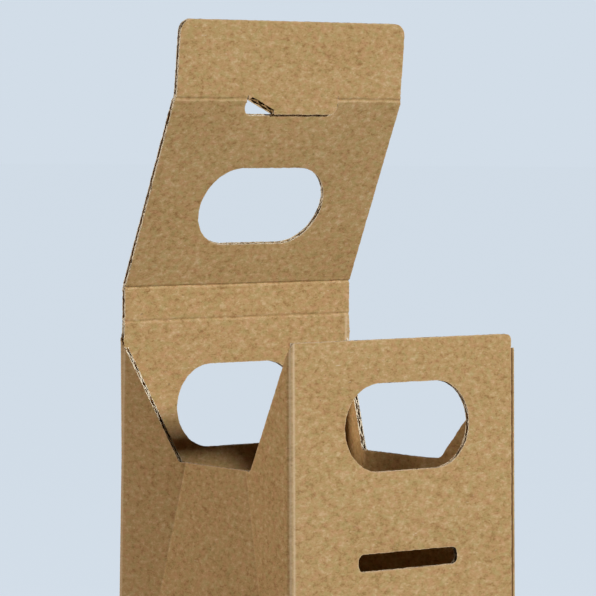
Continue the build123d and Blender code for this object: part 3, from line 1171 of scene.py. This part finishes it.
def kraft_finish(finish):
    """Unbleached liner: mottled fibres, flecks, and pale rubbed folds with painted highlights."""
    paint = Paint("kraft_liner")
    cloud = paint.noise(paint.stretched(0.03, 0.05), 2.0)
    mottle = paint.noise(paint.stretched(0.5, 0.72, (3, 7, 1)), 2.0, 0.6, 0.4)
    grain = paint.noise(paint.stretched(0.9, 1.9, (1, 4, 9)), 2.0, 0.6, 1.2)
    fibre = paint.noise(paint.stretched(1.3, 7.0, (8, 2, 5)), 2.0, 0.55, 2.0)
    rust = paint.noise(paint.stretched(0.45, 0.7, (5, 11, 2)), 2.0, 0.5, 0.4)
    tone = (mottle - 0.5) * 2.6 + (grain - 0.5) * 2.0
    tone = tone + (fibre - 0.5) * 1.0 + (cloud - 0.5) * 0.5
    dark = paint.between(tone * -1.0, 0.0, 0.85) * finish.mottle
    pale = paint.between(tone, 0.0, 0.85) * finish.mottle
    body = paint.mix(opaque(finish.kraft), opaque(finish.kraft_dark), dark)
    body = paint.mix(body, opaque(finish.kraft_pale), pale)
    body = paint.mix(body, RUST, paint.between(rust, 0.50, 0.72) * 0.3)
    body = paint.mix(body, OLIVE, paint.between(rust, 0.50, 0.28) * 0.28)
    fleck = paint.noise(paint.stretched(1.1, 1.6, (20, 3, 14)), 1.0, 0.5, 0.5)
    body = paint.mix(body, BARK, paint.between(fleck, 0.72, 0.80) * 0.55)
    straw = paint.noise(paint.stretched(0.8, 3.2, (2, 31, 6)), 1.0, 0.5, 1.0)
    body = paint.mix(body, STRAW, paint.between(straw, 0.70, 0.80) * 0.6)
    # wear mask: real rubbing plus painted highlights on the folds and crease lips, mixed in pale
    wear_and_highlight = paint.node("ShaderNodeAttribute", {"attribute_name": "wear_and_highlight"}, {}, "Fac")
    rubbed_and_highlit = wear_and_highlight * (0.45 + grain * 0.75)
    body = paint.mix(body, opaque(finish.worn), paint.between(rubbed_and_highlit, 0.05, 0.95) * 0.8)
    # darker band on the glue tab beside the seam
    seam_band = paint.node("ShaderNodeAttribute", {"attribute_name": "seam_band"}, {}, "Fac")
    body = paint.mix(body, opaque(finish.glue), seam_band * 0.85)
    height = fibre * 0.5 + grain * 0.5 + mottle * 0.3
    paint.surface(
        Base_Color=body, Roughness=0.82 + (grain - 0.5) * 0.2,
        Normal=paint.bump(height, 0.55, 0.09 * MM), Specular_IOR_Level=0.22,
    )
    return paint.material


def cut_finish(finish):
    """Cut paper edge: pale torn fibres with painted shade in the gaps between them."""
    paint = Paint("cut_paper")
    torn = paint.noise(paint.stretched(0.75, 0.75, (4, 4, 4)), 3.0, 0.65, 0.8)
    # painted shade in the gaps of the torn edge
    gaps = paint.between(torn, 0.5, 0.62)
    body = paint.mix(opaque(finish.cut), TORN_GAP_SHADE, gaps * 0.85)
    relief = paint.bump(torn, 0.6, 0.1 * MM)
    paint.surface(Base_Color=body, Roughness=0.9, Normal=relief, Specular_IOR_Level=0.15)
    return paint.material


def flute_finish(finish):
    """Fluted medium: darker, rougher paper."""
    paint = Paint("flute_paper")
    torn = paint.noise(paint.stretched(0.9, 0.5, (9, 1, 4)), 3.0, 0.65, 0.5)
    body = paint.mix(opaque(finish.flute), opaque(finish.kraft), paint.between(torn, 0.35, 0.75))
    relief = paint.bump(torn, 0.5, 0.1 * MM)
    paint.surface(Base_Color=body, Roughness=0.92, Normal=relief, Specular_IOR_Level=0.15)
    return paint.material


def stage_finish(name, tint, glow):
    """Plain pale floor that glows in the backdrop's tint, so that it runs on into it."""
    paint = Paint(name)
    speck = paint.noise(paint.stretched(0.002, 0.002), 2.0)
    low = tuple(part * FLOOR_DARK for part in tint)
    body = paint.mix(opaque(low), opaque(tint), speck * 0.02)
    paint.surface(
        Base_Color=body, Roughness=1.0, Emission_Color=opaque(glow),
        Emission_Strength=FLOOR_GLOW, Specular_IOR_Level=0.0,
    )
    return paint.material


def material(name, maker, finish):
    """A finish of the box, made once."""
    return bpy.data.materials.get(name) or maker(finish)


# ---------------------------------------------------------------- pieces

def board_layers(scene, sheet, body, rows, seed):
    """Outer liner, flutes and inner liner of one panel, riding on a body."""
    board, finish = scene.carrier_board, scene.carrier_finish
    kraft = material("kraft_liner", kraft_finish, finish)
    cut = material("cut_paper", cut_finish, finish)
    flute = material("flute_paper", flute_finish, finish)
    thick, liner = board.thickness, board.liner
    outer = liner_mesh(sheet, board, 0.0, liner, seed)
    inner = liner_mesh(sheet, board, thick - liner, thick, seed + 1)
    medium = fluted_mesh(sheet, board, rows, flute, cut, seed + 2)
    pieces = [
        finished(f"{sheet.name}_outer_liner", [outer], [kraft, cut]),
        finished(f"{sheet.name}_flutes", [medium], list(medium.materials), smooth_angle=60),
        finished(f"{sheet.name}_inner_liner", [inner], [kraft, cut]),
    ]
    for piece in pieces:
        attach(piece, body)
    return pieces


def crease_piece(scene, name, crease, spans, seed):
    """Crushed board along one lid crease, bent from the panel below it to the one above."""
    board, finish = scene.carrier_board, scene.carrier_finish
    kraft = material("kraft_liner", kraft_finish, finish)
    cut = material("cut_paper", cut_finish, finish)
    sheet = crease_sheet(name, board, crease, spans)
    thick, liner = board.thickness, board.liner
    layers = [
        liner_mesh(sheet, board, 0.0, liner, seed),
        liner_mesh(sheet, board, liner * CORE_START, thick - liner * CORE_START, seed + 1),
        liner_mesh(sheet, board, thick - liner, thick, seed + 2),
    ]
    piece = finished(name, layers, [kraft, cut])
    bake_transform(piece)
    return piece


class CARRIER_OT_walls(bpy.types.Operator):
    """Makes the four walls, the glue tab and the bottom flaps"""
    bl_idname = "carrier.walls"
    bl_label = "Walls and bottom"

    def execute(self, context):
        scene = context.scene
        board, box = scene.carrier_board, scene.carrier_box
        sheet, walls = wall_sheet(board, box, scene.carrier_holes, scene.carrier_lid)
        radius = board.fold_radius
        rows = [walls.gusset_base, walls.notch_floor, *WALL_ROWS]
        rows += [radius * share_up for share_up in np.linspace(-1, 2, 7)]
        pieces = board_layers(scene, sheet, "box", rows, 100)
        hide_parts("box_body")
        return {"FINISHED"}


class CARRIER_OT_strip(bpy.types.Operator):
    """Makes the narrow top strip"""
    bl_idname = "carrier.strip"
    bl_label = "Top strip"

    def execute(self, context):
        scene = context.scene
        sheet = strip_sheet(scene.carrier_board, scene.carrier_lid)
        pieces = board_layers(scene, sheet, "strip", [], 200)
        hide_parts("top_strip")
        return {"FINISHED"}


class CARRIER_OT_lid(bpy.types.Operator):
    """Makes the lid panel with its hand hole"""
    bl_idname = "carrier.lid"
    bl_label = "Lid panel"

    def execute(self, context):
        scene = context.scene
        sheet = lid_sheet(scene.carrier_board, scene.carrier_lid, scene.carrier_holes)
        pieces = board_layers(scene, sheet, "lid", [], 300)
        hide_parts("lid_panel")
        return {"FINISHED"}


class CARRIER_OT_flap(bpy.types.Operator):
    """Makes the tuck flap with its lock tab"""
    bl_idname = "carrier.flap"
    bl_label = "Tuck flap"

    def execute(self, context):
        scene = context.scene
        sheet = flap_sheet(scene.carrier_board, scene.carrier_lid)
        pieces = board_layers(scene, sheet, "flap", [], 400)
        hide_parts("tuck_flap")
        return {"FINISHED"}


class CARRIER_OT_creases(bpy.types.Operator):
    """Makes the crushed board along the three lid creases"""
    bl_idname = "carrier.creases"
    bl_label = "Lid creases"

    def execute(self, context):
        scene = context.scene
        board, lid = scene.carrier_board, scene.carrier_lid
        walls = Walls(board, scene.carrier_box)
        wide, flap_wide = half_width - lid.lid_inset, half_width - lid.flap_inset
        tab = lid.tab_length / 2 + TAB_ROOM
        full = [(-wide, wide, -wide, wide)]
        left_end = lid.tab_shift - tab
        beside_tab = [(-wide, left_end, -flap_wide, left_end), (tab, wide, tab, flap_wide)]
        first = Crease(board, ridge, math.atan(walls.slope), 0.0, 11)
        second = Crease(board, lid_crease, 0.0, lid_lean, 12)
        third = Crease(board, flap_crease, lid_lean, lid.flap_lean, 13)
        crease_piece(scene, "ridge_fold", first, full, 510)
        crease_piece(scene, "lid_fold", second, full, 520)
        crease_piece(scene, "flap_fold", third, beside_tab, 530)
        return {"FINISHED"}


# ---------------------------------------------------------------- stage

def area_light(name, place, target, size, energy, tint):
    """A soft square light that points at a target."""
    light = bpy.data.lights.new(name, "AREA")
    light.shape = "SQUARE"
    light.size = size
    light.energy = energy
    light.color = tint
    lamp = bpy.data.objects.new(name, light)
    lamp.location = place
    lamp.rotation_mode = "QUATERNION"
    lamp.rotation_quaternion = (Vector(target) - Vector(place)).to_track_quat("-Z", "Y")
    bpy.context.scene.collection.objects.link(lamp)


def around(turn, rise, distance, centre):
    """A place at a bearing from straight ahead of the front panel, degrees, to its right."""
    turn, rise = math.radians(turn), math.radians(rise)
    level = math.cos(rise)
    way = Vector((math.sin(turn) * level, -math.cos(turn) * level, math.sin(rise)))
    return centre + way * distance


class CARRIER_OT_stage(bpy.types.Operator):
    """Makes the floor, the background, the lights and the camera"""
    bl_idname = "carrier.stage"
    bl_label = "Stage"

    def execute(self, context):
        scene = context.scene
        stage = scene.carrier_stage

        mesh = bpy.data.meshes.new("floor")
        work = bmesh.new()
        bmesh.ops.create_circle(work, cap_ends=True, segments=64, radius=FLOOR_RADIUS)
        work.to_mesh(mesh)
        work.free()
        mesh.materials.append(stage_finish("floor_finish", stage.floor, stage.backdrop))
        floor = bpy.data.objects.new("floor", mesh)
        floor.visible_diffuse = False
        floor.visible_glossy = False
        scene.collection.objects.link(floor)

        centre = (cad_box[0] + cad_box[1]) / 2
        aim = Vector((centre.x, centre.y, LIGHT_AIM))
        for name, turn, rise, distance, size, watts, tint in LIGHTS:
            area_light(name, around(turn, rise, distance, aim), aim, size, watts, tint)

        world = bpy.data.worlds.new("backdrop")
        world.use_nodes = True
        tree = world.node_tree
        lit = tree.nodes["Background"]
        lit.inputs["Color"].default_value = opaque(stage.backdrop)
        lit.inputs["Strength"].default_value = ROOM_LIGHT
        seen = tree.nodes.new("ShaderNodeBackground")
        seen.inputs["Color"].default_value = opaque(stage.backdrop)
        seen.inputs["Strength"].default_value = 1.0
        ray = tree.nodes.new("ShaderNodeLightPath")
        choose = tree.nodes.new("ShaderNodeMixShader")
        tree.links.new(ray.outputs["Is Camera Ray"], choose.inputs[0])
        tree.links.new(lit.outputs[0], choose.inputs[1])
        tree.links.new(seen.outputs[0], choose.inputs[2])
        tree.links.new(choose.outputs[0], tree.nodes["World Output"].inputs["Surface"])
        scene.world = world
        scene.view_settings.view_transform = "Standard"

        camera = bpy.data.cameras.new("camera")
        camera.lens = stage.lens
        camera.sensor_width = 36.0
        viewer = bpy.data.objects.new("camera", camera)
        turn = Matrix.Rotation(-stage.camera_pan, 4, "Z")
        turn = turn @ Matrix.Rotation(math.pi / 2 - stage.camera_tilt, 4, "X")
        turn = turn @ Matrix.Rotation(stage.camera_roll, 4, "Z")
        viewer.matrix_world = Matrix.Translation(stage.camera_place) @ turn
        camera.clip_start, camera.clip_end = 0.01, 100.0
        scene.collection.objects.link(viewer)
        scene.camera = viewer
        return {"FINISHED"}


class CARRIER_PT_panel(bpy.types.Panel):
    """Sizes and steps of the carrier box"""
    bl_idname = "CARRIER_PT_panel"
    bl_label = "Bottle carrier box"
    bl_space_type = "VIEW_3D"
    bl_region_type = "UI"
    bl_category = "Carrier"

    def draw(self, context):
        for operator in OPERATORS:
            self.layout.operator(operator.bl_idname)
        for name in GROUPS:
            settings = getattr(context.scene, name)
            block = self.layout.box()
            for label in settings.bl_rna.properties.keys():
                if label not in ("rna_type", "name"):
                    block.prop(settings, label)


OPERATORS = [
    CARRIER_OT_stage, CARRIER_OT_walls, CARRIER_OT_strip, CARRIER_OT_lid, CARRIER_OT_flap,
    CARRIER_OT_creases,
]


def register():
    """Adds the settings, operators and panel to Blender."""
    for name, group in GROUPS.items():
        bpy.utils.register_class(group)
        setattr(bpy.types.Scene, name, bpy.props.PointerProperty(type=group))
    for operator in OPERATORS:
        bpy.utils.register_class(operator)
    bpy.utils.register_class(CARRIER_PT_panel)


def unregister():
    """Takes them out again."""
    bpy.utils.unregister_class(CARRIER_PT_panel)
    for operator in reversed(OPERATORS):
        bpy.utils.unregister_class(operator)
    for name, group in reversed(GROUPS.items()):
        delattr(bpy.types.Scene, name)
        bpy.utils.unregister_class(group)


def main():
    """Builds the whole scene."""
    register()
    bpy.ops.carrier.stage()
    bpy.ops.carrier.walls()
    bpy.ops.carrier.strip()
    bpy.ops.carrier.lid()
    bpy.ops.carrier.flap()
    bpy.ops.carrier.creases()


if __name__ == "__main__":
    main()
